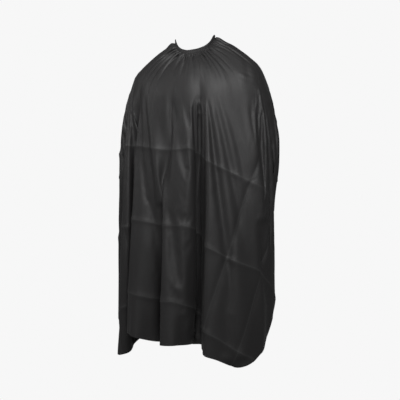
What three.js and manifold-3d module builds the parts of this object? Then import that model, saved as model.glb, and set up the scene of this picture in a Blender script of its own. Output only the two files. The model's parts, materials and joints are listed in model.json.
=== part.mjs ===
// Barber cape, closed round the neck and hanging as it is worn.
// Millimetres. +Z is up, -Y is the wearer's front, +X is the wearer's left.
// The origin is the centre of the neck opening, at the height of the tops of its sides.
import * as THREE from 'three';
import Module from 'manifold-3d';

// The flat panel: its top edge runs through the middle of the neck cut-out.
const PANEL_WIDTH = 1300;
const PANEL_LENGTH = 1300;
const CORNER_RADIUS = 150;
const NECK_CUT_HALF_WIDTH = 150;
const NECK_CUT_DEPTH = 215;

// The neck opening, as worn.
const NECK_HALF_WIDTH = 70;
const NECK_HALF_DEPTH = 62;
const CLOSURE_HALF_LENGTH = 36;
// Height of the neckline by azimuth in degrees, from the front towards the wearer's left.
const NECKLINE = [
  [-180, -46],
  [-149, -46],
  [-128, -45],
  [-105, -38],
  [-88, -24],
  [-70, -13],
  [-52, -28],
  [-37, -45],
  [-20, -57],
  [0, -63],
  [22, -60],
  [44, -51],
  [66, -35],
  [84, -16],
  [100, 0],
  [110, 3],
  [128, -15],
  [149, -46],
  [180, -46],
  [206, -46],
];

// Neck band: a casing with an elastic in it.
const BAND_HEIGHT = 17;
const CASING_PLY = 0.9;
const ELASTIC_HEIGHT = 12;
const ELASTIC_THICKNESS = 1;
const BAND_STEP = 4;

// Closure: a tab with sockets on one end of the band, a tab with studs on the other.
const TAB_PLY = 0.7;
const INTERLINING_THICKNESS = 0.8;
const TAB_TOP_MARGIN = 1.5;
const STUD_PITCH = 16;
const STUD_COUNT = 4;
const SOCKET_COUNT = 2;
const FIRST_ENGAGED_STUD = 1;
const FASTENER_RADIUS = 5;
const CAP_RADIUS = 5.5;
const CAP_THICKNESS = 1.2;
const BACK_THICKNESS = 1;
const POST_RADIUS = 1.4;
const KNOB_RADIUS = 2.9;
const KNOB_HEIGHT = 1.6;
const FLANGE_THICKNESS = 0.8;
const SOCKET_FLOOR = 0.8;
const TAB_END_MARGIN = 8;
const STUD_TAB_MARGIN = 6;
const BEND_LENGTH = 10;

// Clearances.
const GAP = 0.3;
const SEAM_GAP = 1;
const POST_CLEARANCE = 0.3;
const KNOB_CLEARANCE = 0.6;

// The hanging cloth.
const CLOTH_THICKNESS = 2;
const COLUMNS = 78;
const ROWS = 24;
const MARCH_STEP = 8;
// Half breadth and half depths of the hanging form, by the drop below the neck seam.
const SIDE_PROFILE = [
  [0, 71.5],
  [15, 118],
  [37, 148],
  [60, 180],
  [100, 220],
  [130, 236],
  [190, 254],
  [280, 274],
  [370, 290],
  [520, 301],
  [700, 303],
  [1300, 306],
];
const FRONT_PROFILE = [
  [0, 64],
  [30, 94],
  [70, 119],
  [120, 138],
  [220, 160],
  [320, 175],
  [520, 197],
  [720, 214],
  [1300, 236],
];
const BACK_PROFILE = [
  [0, 66],
  [30, 92],
  [70, 110],
  [130, 125],
  [230, 139],
  [430, 153],
  [730, 166],
  [1300, 178],
];
// Valleys between the folds: azimuth at the neck and at the hem, depth at the hem, half width.
const VALLEYS = [
  [-142, -140, 26, 8],
  [-108, -104, 36, 9],
  [-76, -78, 34, 9],
  [-46, -49, 52, 9],
  [-14, -16, 50, 7],
  [29, 17, 72, 11],
  [92, 92, 34, 9],
  [122, 120, 36, 9],
  [158, 156, 28, 8],
];
const VALLEY_START = 60;
const VALLEY_FULL = 760;
const BACK_EDGE_DRIFT = 7.5;
const DRIFT_FULL = 300;

const DEG = Math.PI / 180;
const CASING_THICKNESS = 2 * CASING_PLY + ELASTIC_THICKNESS + 2 * GAP;
const TAB_THICKNESS = 2 * TAB_PLY + INTERLINING_THICKNESS + 2 * GAP;

// The layers of the closure, outwards along +Y from the inside of the neck band.
const STUD_TAB_OUTER = NECK_HALF_DEPTH + TAB_THICKNESS;
const STUD_BASE = STUD_TAB_OUTER + GAP;
const SOCKET_MOUTH = STUD_BASE + FLANGE_THICKNESS + GAP;
const SOCKET_DEPTH = KNOB_HEIGHT + GAP;
const SOCKET_HEIGHT = SOCKET_DEPTH + SOCKET_FLOOR;
const SOCKET_TAB_INNER = SOCKET_MOUTH + SOCKET_HEIGHT + GAP;
const SOCKET_TAB_OUTER = SOCKET_TAB_INNER + TAB_THICKNESS;

// The closure along X: the socket tab's root is at the wearer's right.
const ROOT_X = -CLOSURE_HALF_LENGTH;
const STUD_TAB_ROOT_X = CLOSURE_HALF_LENGTH - GAP;
const STUD_TAB_END_X = ROOT_X + BEND_LENGTH;
const FIRST_STUD_X = STUD_TAB_END_X + STUD_TAB_MARGIN;
const CLOSURE_TOP = NECKLINE[0][1];
const CLOSURE_MID = CLOSURE_TOP - BAND_HEIGHT / 2;
const CLOSURE_BOTTOM = CLOSURE_TOP - BAND_HEIGHT;

const wasm = await Module();
wasm.setup();

const cape = new THREE.Group();
cape.name = 'barber_cape';

// Slope of a table at one of its points, level where the table turns or runs flat.
function tableSlope(table, k) {
  if (k === 0 || k === table.length - 1) {
    const from = k === 0 ? 0 : k - 1;
    return (table[from + 1][1] - table[from][1]) / (table[from + 1][0] - table[from][0]);
  }
  const before = (table[k][1] - table[k - 1][1]) / (table[k][0] - table[k - 1][0]);
  const after = (table[k + 1][1] - table[k][1]) / (table[k + 1][0] - table[k][0]);
  return before * after > 0 ? (2 * before * after) / (before + after) : 0;
}

// A smooth curve through a table of points that never swings past them.
function interpolate(table, at) {
  let k = 0;
  while (k < table.length - 2 && at > table[k + 1][0]) {
    k += 1;
  }
  const span = table[k + 1][0] - table[k][0];
  const u = Math.min(Math.max((at - table[k][0]) / span, 0), 1);
  const rise = table[k + 1][1] - table[k][1];
  const leave = tableSlope(table, k) * span;
  const arrive = tableSlope(table, k + 1) * span;
  return (
    table[k][1] +
    leave * u +
    (3 * rise - 2 * leave - arrive) * u * u +
    (leave + arrive - 2 * rise) * u * u * u
  );
}

function smoothStep(low, high, at) {
  const u = Math.min(Math.max((at - low) / (high - low), 0), 1);
  return u * u * (3 - 2 * u);
}

// The neckline in plan: an ellipse in front, with a flat stretch at the back for the closure.
function neckPlan(azimuth) {
  const x = NECK_HALF_WIDTH * Math.sin(azimuth * DEG);
  if (Math.cos(azimuth * DEG) >= 0) {
    return [x, -NECK_HALF_DEPTH * Math.cos(azimuth * DEG)];
  }
  const flat = CLOSURE_HALF_LENGTH;
  const past = Math.max(0, (Math.abs(x) - flat) / (NECK_HALF_WIDTH - flat));
  return [x, NECK_HALF_DEPTH * Math.sqrt(Math.max(0, 1 - past * past))];
}

function necklineHeight(azimuth) {
  return interpolate(NECKLINE, azimuth);
}

function planNormal(azimuth) {
  const before = neckPlan(azimuth - 0.5);
  const after = neckPlan(azimuth + 0.5);
  const normal = new THREE.Vector2(after[1] - before[1], before[0] - after[0]);
  return normal.normalize();
}

// Azimuth of the point of the flat stretch at a given x.
function flatAzimuth(x) {
  return 180 - Math.asin(x / NECK_HALF_WIDTH) / DEG;
}

// A closed mesh from points and triangles, turned to face outwards.
function closedGeometry(points, triangles) {
  let volume = 0;
  const cross = new THREE.Vector3();
  for (const [a, b, c] of triangles) {
    cross.crossVectors(points[b], points[c]);
    volume += points[a].dot(cross);
  }
  const positions = new Float32Array(points.flatMap((p) => [p.x, p.y, p.z]));
  const index = volume > 0 ? triangles.flat() : triangles.flatMap(([a, b, c]) => [a, c, b]);
  const geometry = new THREE.BufferGeometry();
  geometry.setAttribute('position', new THREE.BufferAttribute(positions, 3));
  geometry.setIndex(index);
  return geometry;
}

// A bar through four-cornered sections, closed at both ends.
function bar(sections) {
  const points = sections.flat();
  const triangles = [];
  for (let k = 0; k < sections.length - 1; k += 1) {
    for (let corner = 0; corner < 4; corner += 1) {
      const a = k * 4 + corner;
      const b = k * 4 + ((corner + 1) % 4);
      triangles.push([a, b, b + 4]);
      triangles.push([a, b + 4, a + 4]);
    }
  }
  const end = (sections.length - 1) * 4;
  triangles.push([0, 2, 1], [0, 3, 2]);
  triangles.push([end, end + 1, end + 2], [end, end + 2, end + 3]);
  return closedGeometry(points, triangles);
}

// Azimuths from one end of a strip to the other, on steps that all strips share.
function stripAzimuths(from, to) {
  const azimuths = [from];
  for (let k = Math.floor(from / BAND_STEP) + 1; k * BAND_STEP < to; k += 1) {
    azimuths.push(k * BAND_STEP);
  }
  azimuths.push(to);
  return azimuths;
}

// A strip standing on edge along the neckline, between two offsets from its plan.
function neckStrip(from, to, inner, outer, below, height) {
  const sections = [];
  for (const azimuth of stripAzimuths(from, to)) {
    const [x, y] = neckPlan(azimuth);
    const normal = planNormal(azimuth);
    const top = necklineHeight(azimuth) - below;
    const inX = x + normal.x * inner;
    const inY = y + normal.y * inner;
    const outX = x + normal.x * outer;
    const outY = y + normal.y * outer;
    sections.push([
      new THREE.Vector3(inX, inY, top),
      new THREE.Vector3(outX, outY, top),
      new THREE.Vector3(outX, outY, top - height),
      new THREE.Vector3(inX, inY, top - height),
    ]);
  }
  return bar(sections);
}

function toManifold(geometry) {
  const position = geometry.getAttribute('position');
  const seen = new Map();
  const vertices = [];
  const triangles = [];
  const source = geometry.getIndex();
  const count = source ? source.count : position.count;
  for (let k = 0; k < count; k += 1) {
    const at = source ? source.getX(k) : k;
    const xyz = [position.getX(at), position.getY(at), position.getZ(at)];
    const key = xyz.map((value) => Math.round(value * 10000)).join(' ');
    if (!seen.has(key)) {
      seen.set(key, vertices.length / 3);
      vertices.push(...xyz);
    }
    triangles.push(seen.get(key));
  }
  const kept = [];
  for (let k = 0; k < triangles.length; k += 3) {
    const [a, b, c] = triangles.slice(k, k + 3);
    if (a !== b && b !== c && a !== c) {
      kept.push(a, b, c);
    }
  }
  const mesh = new wasm.Mesh({
    numProp: 3,
    vertProperties: new Float32Array(vertices),
    triVerts: new Uint32Array(kept),
  });
  return new wasm.Manifold(mesh);
}

function fromManifold(solid) {
  const mesh = solid.getMesh();
  const geometry = new THREE.BufferGeometry();
  geometry.setAttribute('position', new THREE.BufferAttribute(mesh.vertProperties, 3));
  geometry.setIndex(new THREE.BufferAttribute(mesh.triVerts, 1));
  return geometry;
}

function cut(geometry, tools) {
  let solid = toManifold(geometry);
  for (const tool of tools) {
    solid = solid.subtract(toManifold(tool));
  }
  return fromManifold(solid);
}

function box(fromX, toX, fromY, toY, fromZ, toZ) {
  const geometry = new THREE.BoxGeometry(toX - fromX, toY - fromY, toZ - fromZ);
  geometry.translate((fromX + toX) / 2, (fromY + toY) / 2, (fromZ + toZ) / 2);
  return geometry;
}

function postHole(x) {
  const radius = POST_RADIUS + POST_CLEARANCE;
  const geometry = new THREE.CylinderGeometry(radius, radius, 60, 16);
  geometry.translate(x, NECK_HALF_DEPTH, CLOSURE_MID);
  return geometry;
}

function turned(profile) {
  return new THREE.LatheGeometry(
    profile.map(([radius, height]) => new THREE.Vector2(radius, height)),
    24,
  );
}

function add(name, geometry, colour, roughness, metalness) {
  const material = new THREE.MeshStandardMaterial({ color: colour, roughness, metalness });
  const mesh = new THREE.Mesh(geometry, material);
  mesh.name = name;
  cape.add(mesh);
  return mesh;
}

const CLOTH_COLOUR = 0x2b2a2b;
const TAPE_COLOUR = 0x242324;
const WHITE_ELASTIC = 0xd8d6cf;
const INTERLINING_COLOUR = 0xcfcbc2;
const STEEL = 0x8f9296;
const BLACK_STEEL = 0x1d1d1f;

// Distance from the middle of the neck cut-out to its edge, in a direction of the flat panel.
function cutRadius(direction) {
  const across = Math.sin(direction) / NECK_CUT_HALF_WIDTH;
  const along = Math.cos(direction) / NECK_CUT_DEPTH;
  return 1 / Math.hypot(across, along);
}

// Distance from the same point to the outer edge of the flat panel.
function panelRadius(direction) {
  const across = Math.abs(Math.sin(direction));
  const along = Math.abs(Math.cos(direction));
  const halfWidth = PANEL_WIDTH / 2;
  const straight = Math.min(halfWidth / Math.max(across, 1e-6), PANEL_LENGTH / Math.max(along, 1e-6));
  const centreAcross = halfWidth - CORNER_RADIUS;
  const centreAlong = PANEL_LENGTH - CORNER_RADIUS;
  const inCorner = straight * across > centreAcross && straight * along > centreAlong;
  if (!inCorner) {
    return straight;
  }
  const projected = across * centreAcross + along * centreAlong;
  const square = centreAcross ** 2 + centreAlong ** 2 - CORNER_RADIUS ** 2;
  return projected + Math.sqrt(Math.max(0, projected ** 2 - square));
}

const LEFT_END = flatAzimuth(STUD_TAB_END_X);
const RIGHT_END = flatAzimuth(ROOT_X) - 360;

// Worn azimuth of a direction of the flat panel.
function wornAzimuth(direction) {
  const share = direction / 90;
  if (share >= 0) {
    return LEFT_END * share;
  }
  return LEFT_END * share - (LEFT_END + RIGHT_END) * share ** 3;
}

// A point of the hanging cloth at an azimuth, a drop below the neck seam.
function hangingPoint(azimuth, drop) {
  const back = smoothStep(0, DRIFT_FULL, drop);
  const edge = azimuth < 0 ? (azimuth / RIGHT_END) ** 4 : 0;
  const around = azimuth - BACK_EDGE_DRIFT * back * edge;
  const [planX, planY] = neckPlan(around);
  const breadth = interpolate(SIDE_PROFILE, drop);
  const depth = interpolate(planY < 0 ? FRONT_PROFILE : BACK_PROFILE, drop);
  let x = (planX / NECK_HALF_WIDTH) * breadth;
  let y = (planY / NECK_HALF_DEPTH) * depth;
  const outwards = planNormal(around);
  const growth = smoothStep(VALLEY_START, VALLEY_FULL, drop);
  for (const [atNeck, atHem, deep, halfWidth] of VALLEYS) {
    const centre = atNeck + (atHem - atNeck) * smoothStep(0, VALLEY_FULL, drop);
    const off = (around - centre) / halfWidth;
    const sink = deep * growth * Math.exp(-off * off);
    x -= outwards.x * sink;
    y -= outwards.y * sink;
  }
  return new THREE.Vector3(x, y, necklineHeight(azimuth) - BAND_HEIGHT - SEAM_GAP - drop);
}

// One column of the cloth, walked down from the neck seam by the length of the flat panel.
function clothColumn(direction) {
  const azimuth = wornAzimuth(direction);
  const length = panelRadius(direction * DEG) - cutRadius(direction * DEG);
  const walked = [[0, hangingPoint(azimuth, 0)]];
  let along = 0;
  for (let drop = MARCH_STEP; along < length; drop += MARCH_STEP) {
    const next = hangingPoint(azimuth, drop);
    along += next.distanceTo(walked[walked.length - 1][1]);
    walked.push([along, next]);
  }
  const points = [];
  for (let row = 0; row <= ROWS; row += 1) {
    const share = row / ROWS;
    const target = length * (0.35 * share * share + 0.65 * share);
    let k = 0;
    while (k < walked.length - 2 && walked[k + 1][0] < target) {
      k += 1;
    }
    const part = (target - walked[k][0]) / (walked[k + 1][0] - walked[k][0]);
    points.push(walked[k][1].clone().lerp(walked[k + 1][1], part));
  }
  return points;
}

function clothShell() {
  const outer = [];
  for (let column = 0; column <= COLUMNS; column += 1) {
    outer.push(clothColumn(-90 + (180 * column) / COLUMNS));
  }
  const at = (column, row) => outer[column][row];
  const inner = [];
  for (let column = 0; column <= COLUMNS; column += 1) {
    inner.push([]);
    for (let row = 0; row <= ROWS; row += 1) {
      const left = at(Math.max(column - 1, 0), row);
      const right = at(Math.min(column + 1, COLUMNS), row);
      const above = at(column, Math.max(row - 1, 0));
      const below = at(column, Math.min(row + 1, ROWS));
      const normal = new THREE.Vector3();
      if (row === 0) {
        normal.set(0, 0, 1);
      } else {
        normal.crossVectors(right.clone().sub(left), above.clone().sub(below)).normalize();
      }
      inner[column].push(at(column, row).clone().addScaledVector(normal, -CLOTH_THICKNESS));
    }
  }
  const layer = (COLUMNS + 1) * (ROWS + 1);
  const points = [...outer.flat(), ...inner.flat()];
  const id = (column, row, side) => side * layer + column * (ROWS + 1) + row;
  const triangles = [];
  const quad = (a, b, c, d) => triangles.push([a, b, c], [a, c, d]);
  for (let column = 0; column < COLUMNS; column += 1) {
    for (let row = 0; row < ROWS; row += 1) {
      const next = column + 1;
      const under = row + 1;
      quad(id(column, row, 0), id(next, row, 0), id(next, under, 0), id(column, under, 0));
      quad(id(column, row, 1), id(column, under, 1), id(next, under, 1), id(next, row, 1));
    }
    quad(id(column, 0, 0), id(column, 0, 1), id(column + 1, 0, 1), id(column + 1, 0, 0));
    quad(
      id(column, ROWS, 0),
      id(column + 1, ROWS, 0),
      id(column + 1, ROWS, 1),
      id(column, ROWS, 1),
    );
  }
  for (let row = 0; row < ROWS; row += 1) {
    quad(id(0, row, 0), id(0, row + 1, 0), id(0, row + 1, 1), id(0, row, 1));
    quad(
      id(COLUMNS, row, 0),
      id(COLUMNS, row, 1),
      id(COLUMNS, row + 1, 1),
      id(COLUMNS, row + 1, 0),
    );
  }
  return closedGeometry(points, triangles);
}

// The casing is open at both ends, and the elastic lies in it.
const BAND_FROM = RIGHT_END;
const BAND_TO = flatAzimuth(CLOSURE_HALF_LENGTH);
const channelInner = CASING_PLY;
const channelOuter = CASING_PLY + ELASTIC_THICKNESS + 2 * GAP;
const channelBelow = (BAND_HEIGHT - ELASTIC_HEIGHT) / 2 - GAP;
const channelHeight = ELASTIC_HEIGHT + 2 * GAP;
const casingOuter = neckStrip(BAND_FROM, BAND_TO, 0, CASING_THICKNESS, 0, BAND_HEIGHT);
const bandRoom = neckStrip(
  BAND_FROM - 1,
  LEFT_END + 1,
  -GAP,
  CASING_THICKNESS + GAP,
  -GAP,
  BAND_HEIGHT + 2 * GAP,
);
add('cape_body', cut(clothShell(), [bandRoom]), CLOTH_COLOUR, 0.55, 0);
const channel = neckStrip(
  BAND_FROM - 1,
  BAND_TO + 1,
  channelInner,
  channelOuter,
  channelBelow,
  channelHeight,
);
add('neck_band', cut(casingOuter, [channel]), TAPE_COLOUR, 0.6, 0);
add(
  'neck_elastic',
  neckStrip(
    BAND_FROM + 1,
    BAND_TO - 1,
    channelInner + GAP,
    channelOuter - GAP,
    channelBelow + GAP,
    ELASTIC_HEIGHT,
  ),
  WHITE_ELASTIC,
  0.9,
  0,
);

// Stud tab: cloth folded over an interlining, open along its lower edge.
const studPlaces = [];
for (let k = 0; k < STUD_COUNT; k += 1) {
  studPlaces.push(FIRST_STUD_X + k * STUD_PITCH);
}
const pocketTop = CLOSURE_TOP - TAB_TOP_MARGIN;
const below = CLOSURE_BOTTOM - 1;
const studPocket = box(
  STUD_TAB_END_X + TAB_TOP_MARGIN,
  STUD_TAB_ROOT_X - TAB_TOP_MARGIN,
  NECK_HALF_DEPTH + TAB_PLY,
  STUD_TAB_OUTER - TAB_PLY,
  below,
  pocketTop,
);
const studTab = box(
  STUD_TAB_END_X,
  STUD_TAB_ROOT_X,
  NECK_HALF_DEPTH,
  STUD_TAB_OUTER,
  CLOSURE_BOTTOM,
  CLOSURE_TOP,
);
add('stud_tab', cut(studTab, [studPocket, ...studPlaces.map(postHole)]), TAPE_COLOUR, 0.6, 0);
const studInterlining = box(
  STUD_TAB_END_X + TAB_TOP_MARGIN + GAP,
  STUD_TAB_ROOT_X - TAB_TOP_MARGIN - GAP,
  NECK_HALF_DEPTH + TAB_PLY + GAP,
  STUD_TAB_OUTER - TAB_PLY - GAP,
  CLOSURE_BOTTOM,
  pocketTop - GAP,
);
const studInterliningCut = cut(studInterlining, studPlaces.map(postHole));
add('stud_tab_interlining', studInterliningCut, INTERLINING_COLOUR, 0.95, 0);

// Socket tab: it starts level with the band's end and steps outwards over the studs.
const socketPlaces = [];
for (let k = 0; k < SOCKET_COUNT; k += 1) {
  socketPlaces.push(studPlaces[FIRST_ENGAGED_STUD + k]);
}
const rootX = ROOT_X + GAP;
const bendX = ROOT_X + BEND_LENGTH;
const tipX = socketPlaces[SOCKET_COUNT - 1] + TAB_END_MARGIN;
const outline = new THREE.Shape();
outline.moveTo(rootX, NECK_HALF_DEPTH);
outline.lineTo(rootX + 2, NECK_HALF_DEPTH);
outline.lineTo(bendX, SOCKET_TAB_INNER);
outline.lineTo(tipX, SOCKET_TAB_INNER);
outline.lineTo(tipX, SOCKET_TAB_OUTER);
outline.lineTo(bendX - 1, SOCKET_TAB_OUTER);
outline.lineTo(rootX, NECK_HALF_DEPTH + TAB_THICKNESS);
outline.closePath();
const socketTab = new THREE.ExtrudeGeometry(outline, { depth: BAND_HEIGHT, bevelEnabled: false });
socketTab.translate(0, 0, CLOSURE_BOTTOM);
const socketPocket = box(
  bendX + TAB_TOP_MARGIN,
  tipX - TAB_TOP_MARGIN,
  SOCKET_TAB_INNER + TAB_PLY,
  SOCKET_TAB_OUTER - TAB_PLY,
  below,
  pocketTop,
);
const socketTabCut = cut(socketTab, [socketPocket, ...socketPlaces.map(postHole)]);
add('socket_tab', socketTabCut, TAPE_COLOUR, 0.6, 0);
const socketInterlining = box(
  bendX + TAB_TOP_MARGIN + GAP,
  tipX - TAB_TOP_MARGIN - GAP,
  SOCKET_TAB_INNER + TAB_PLY + GAP,
  SOCKET_TAB_OUTER - TAB_PLY - GAP,
  CLOSURE_BOTTOM,
  pocketTop - GAP,
);
const socketInterliningCut = cut(socketInterlining, socketPlaces.map(postHole));
add('socket_tab_interlining', socketInterliningCut, INTERLINING_COLOUR, 0.95, 0);

// Press studs. Each profile is radius and height along +Y from its seat.
const boreRadius = POST_RADIUS + POST_CLEARANCE;
const studBoreDepth = FLANGE_THICKNESS + KNOB_HEIGHT / 2;
const STUD_PROFILE = [
  [0, studBoreDepth],
  [boreRadius, studBoreDepth],
  [boreRadius, 0],
  [FASTENER_RADIUS - 0.2, 0],
  [FASTENER_RADIUS, 0.2],
  [FASTENER_RADIUS, FLANGE_THICKNESS - 0.2],
  [FASTENER_RADIUS - 0.2, FLANGE_THICKNESS],
  [KNOB_RADIUS - 0.3, FLANGE_THICKNESS],
  [KNOB_RADIUS, FLANGE_THICKNESS + KNOB_HEIGHT * 0.6],
  [KNOB_RADIUS - 0.4, FLANGE_THICKNESS + KNOB_HEIGHT],
  [0, FLANGE_THICKNESS + KNOB_HEIGHT],
];
const studReach = GAP + TAB_THICKNESS + GAP + studBoreDepth - GAP;
const STUD_BACK_PROFILE = [
  [0, -BACK_THICKNESS],
  [CAP_RADIUS - 0.4, -BACK_THICKNESS],
  [CAP_RADIUS, -BACK_THICKNESS / 2],
  [CAP_RADIUS, 0],
  [POST_RADIUS, 0],
  [POST_RADIUS, studReach],
  [0, studReach],
];
const mouthRadius = KNOB_RADIUS + KNOB_CLEARANCE;
const SOCKET_PROFILE = [
  [mouthRadius, 0],
  [FASTENER_RADIUS - 0.3, 0],
  [FASTENER_RADIUS, 0.3],
  [FASTENER_RADIUS, SOCKET_HEIGHT],
  [boreRadius, SOCKET_HEIGHT],
  [boreRadius, SOCKET_DEPTH],
  [mouthRadius, SOCKET_DEPTH],
  [mouthRadius, 0],
];
const capReach = GAP + TAB_THICKNESS + GAP + SOCKET_FLOOR;
const CAP_PROFILE = [
  [0, CAP_THICKNESS],
  [CAP_RADIUS * 0.6, CAP_THICKNESS * 0.92],
  [CAP_RADIUS - 0.4, CAP_THICKNESS * 0.7],
  [CAP_RADIUS, CAP_THICKNESS * 0.3],
  [CAP_RADIUS, 0],
  [POST_RADIUS, 0],
  [POST_RADIUS, -capReach],
  [0, -capReach],
];

function fastener(name, profile, x, seat, colour) {
  const geometry = turned(profile);
  geometry.translate(x, seat, CLOSURE_MID);
  const shaped = fromManifold(toManifold(facingOut(geometry)));
  add(name, shaped, colour, 0.35, 0.9);
}

// Turns a turned body's triangles so that its volume counts as positive.
function facingOut(geometry) {
  const position = geometry.getAttribute('position');
  const index = geometry.getIndex();
  const points = [];
  for (let k = 0; k < position.count; k += 1) {
    points.push(new THREE.Vector3().fromBufferAttribute(position, k));
  }
  const triangles = [];
  for (let k = 0; k < index.count; k += 3) {
    triangles.push([index.getX(k), index.getX(k + 1), index.getX(k + 2)]);
  }
  return closedGeometry(points, triangles);
}

studPlaces.forEach((x, k) => {
  fastener(`stud_${k + 1}`, STUD_PROFILE, x, STUD_BASE, STEEL);
  fastener(`stud_back_${k + 1}`, STUD_BACK_PROFILE, x, NECK_HALF_DEPTH - GAP, STEEL);
});
socketPlaces.forEach((x, k) => {
  fastener(`socket_${k + 1}`, SOCKET_PROFILE, x, SOCKET_MOUTH, STEEL);
  fastener(`cap_${k + 1}`, CAP_PROFILE, x, SOCKET_TAB_OUTER + GAP, BLACK_STEEL);
});

export default cape;
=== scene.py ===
"""A black barber cape as it hangs from a wearer's shoulders.

The gathered panel with its turned hem, the puckered neck band and the press-stud closure.
"""

import json
import math

import bpy
import numpy as np
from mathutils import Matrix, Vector

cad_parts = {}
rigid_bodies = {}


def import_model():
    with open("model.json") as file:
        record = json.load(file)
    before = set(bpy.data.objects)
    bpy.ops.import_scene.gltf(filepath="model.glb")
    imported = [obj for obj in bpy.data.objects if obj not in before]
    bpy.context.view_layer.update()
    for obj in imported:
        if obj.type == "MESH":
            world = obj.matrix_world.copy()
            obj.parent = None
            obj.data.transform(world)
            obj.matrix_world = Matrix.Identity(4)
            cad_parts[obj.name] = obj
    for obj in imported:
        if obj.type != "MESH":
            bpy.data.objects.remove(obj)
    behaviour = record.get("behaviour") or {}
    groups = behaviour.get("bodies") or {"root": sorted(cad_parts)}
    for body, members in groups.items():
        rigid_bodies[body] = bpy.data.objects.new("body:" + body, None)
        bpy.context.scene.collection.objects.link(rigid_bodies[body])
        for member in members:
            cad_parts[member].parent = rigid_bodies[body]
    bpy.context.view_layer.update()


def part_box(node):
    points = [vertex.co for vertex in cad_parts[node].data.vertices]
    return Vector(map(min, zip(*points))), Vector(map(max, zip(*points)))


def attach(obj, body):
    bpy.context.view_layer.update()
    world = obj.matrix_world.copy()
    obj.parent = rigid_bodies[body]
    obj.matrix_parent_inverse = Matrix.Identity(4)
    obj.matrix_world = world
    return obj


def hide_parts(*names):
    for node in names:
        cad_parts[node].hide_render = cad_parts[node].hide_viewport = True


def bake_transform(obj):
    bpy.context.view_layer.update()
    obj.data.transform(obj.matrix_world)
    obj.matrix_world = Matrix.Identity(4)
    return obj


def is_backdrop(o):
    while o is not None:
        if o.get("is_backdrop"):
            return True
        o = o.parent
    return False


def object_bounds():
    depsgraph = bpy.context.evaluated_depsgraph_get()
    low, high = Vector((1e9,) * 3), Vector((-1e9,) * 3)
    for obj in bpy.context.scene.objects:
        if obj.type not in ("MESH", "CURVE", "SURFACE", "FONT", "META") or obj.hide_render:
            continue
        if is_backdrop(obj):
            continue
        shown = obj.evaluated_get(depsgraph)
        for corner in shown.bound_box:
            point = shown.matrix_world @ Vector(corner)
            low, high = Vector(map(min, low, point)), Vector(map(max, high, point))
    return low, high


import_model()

# ---------------------------------------------------------------- sizes, in metres and degrees
MM = 0.001
PANEL_WIDTH = 1.3
PANEL_LENGTH = 1.3
CORNER_RADIUS = 0.15
NECK_CUT_HALF_WIDTH = 0.15
NECK_CUT_DEPTH = 0.215

BAND_LOW, BAND_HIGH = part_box("neck_band")
CASING_THICKNESS = 3.4 * MM
BAND_HEIGHT = 17 * MM
NECK_HALF_WIDTH = BAND_HIGH.x - CASING_THICKNESS
NECK_HALF_DEPTH = -BAND_LOW.y - CASING_THICKNESS
CLOSURE_HALF_LENGTH = 36 * MM
LEFT_END = 201.8
RIGHT_END = -149.05

NECKLINE = np.array(
    [
        (-180, -46), (-149, -46), (-128, -45), (-105, -38), (-88, -24), (-70, -13), (-52, -28), (-37, -45),
        (-20, -57), (0, -63), (22, -60), (44, -51), (66, -35), (84, -16), (100, 0), (110, 3), (128, -15),
        (149, -46), (180, -46), (206, -46),
    ],
    float,
)
# Half breadth and half depths of the hanging cloth, in millimetres, by the drop below the neck seam.
SIDE_PROFILE = np.array(
    [
        (0, 71.5), (15, 118), (37, 148), (60, 180), (100, 220), (130, 236), (190, 254), (280, 274),
        (370, 290), (520, 300), (700, 302), (1300, 304),
    ],
    float,
)
FRONT_PROFILE = np.array(
    [(0, 64), (30, 94), (70, 119), (120, 138), (220, 158), (320, 172), (520, 190), (720, 204), (1300, 220)],
    float,
)
BACK_PROFILE = np.array(
    [(0, 66), (30, 92), (70, 110), (130, 125), (230, 138), (430, 150), (730, 160), (1300, 170)],
    float,
)
# How far each flank stands out past the even shape, in millimetres, by the drop.
LEFT_FLANK = np.array(
    [(0, 0), (12, 20), (60, 23), (120, 26), (300, 32), (420, 30), (600, 20), (1300, 22)],
    float,
)
RIGHT_FLANK = np.array([(0, 0), (12, 8), (60, 4), (130, 1), (200, 0), (1300, 0)], float)
LEFT_FLANK_AZIMUTH = 110
RIGHT_FLANK_AZIMUTH = -98
FLANK_REACH = 62
# Crests of the folds: direction on the flat panel, worn azimuth just below the neck, at the elbows and
# at the hem, and how sharp the valley after the crest is.
CRESTS = np.array(
    [
        (-90, -149, -149, -149, 1.6), (-78, -133, -134, -134, 1.6), (-65, -113, -115, -116, 1.6),
        (-52, -97, -99, -102, 1.6), (-41, -84, -86, -92, 1.6), (-31, -68, -71, -82, 1.8),
        (-23, -50, -53, -57, 2.8), (-12, -27, -27, -31, 2.8), (1, 3, 8, -1, 3.2), (18, 36, 30, 30, 1.4),
        (26, 53, 51, 69, 1.4), (34, 72, 75, 102, 1.8), (45, 96, 97, 106, 2.2), (57, 122, 121, 124, 2.2),
        (70, 152, 152, 152, 1.6), (90, 201.8, 201.8, 201.8, 1.6),
    ],
    float,
)
COLUMNS = 210
ROWS = 72
PUCKERS = 29
PUCKER_DEPTH = 3.4 * MM
LONGEST_CLOTH = 1.45
DEEPEST_FOLD = 0.16
SEAM_DROP = 1 * MM


def smooth(low, high, at):
    u = np.clip((np.asarray(at, float) - low) / (high - low), 0, 1)
    return u * u * (3 - 2 * u)


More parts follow.
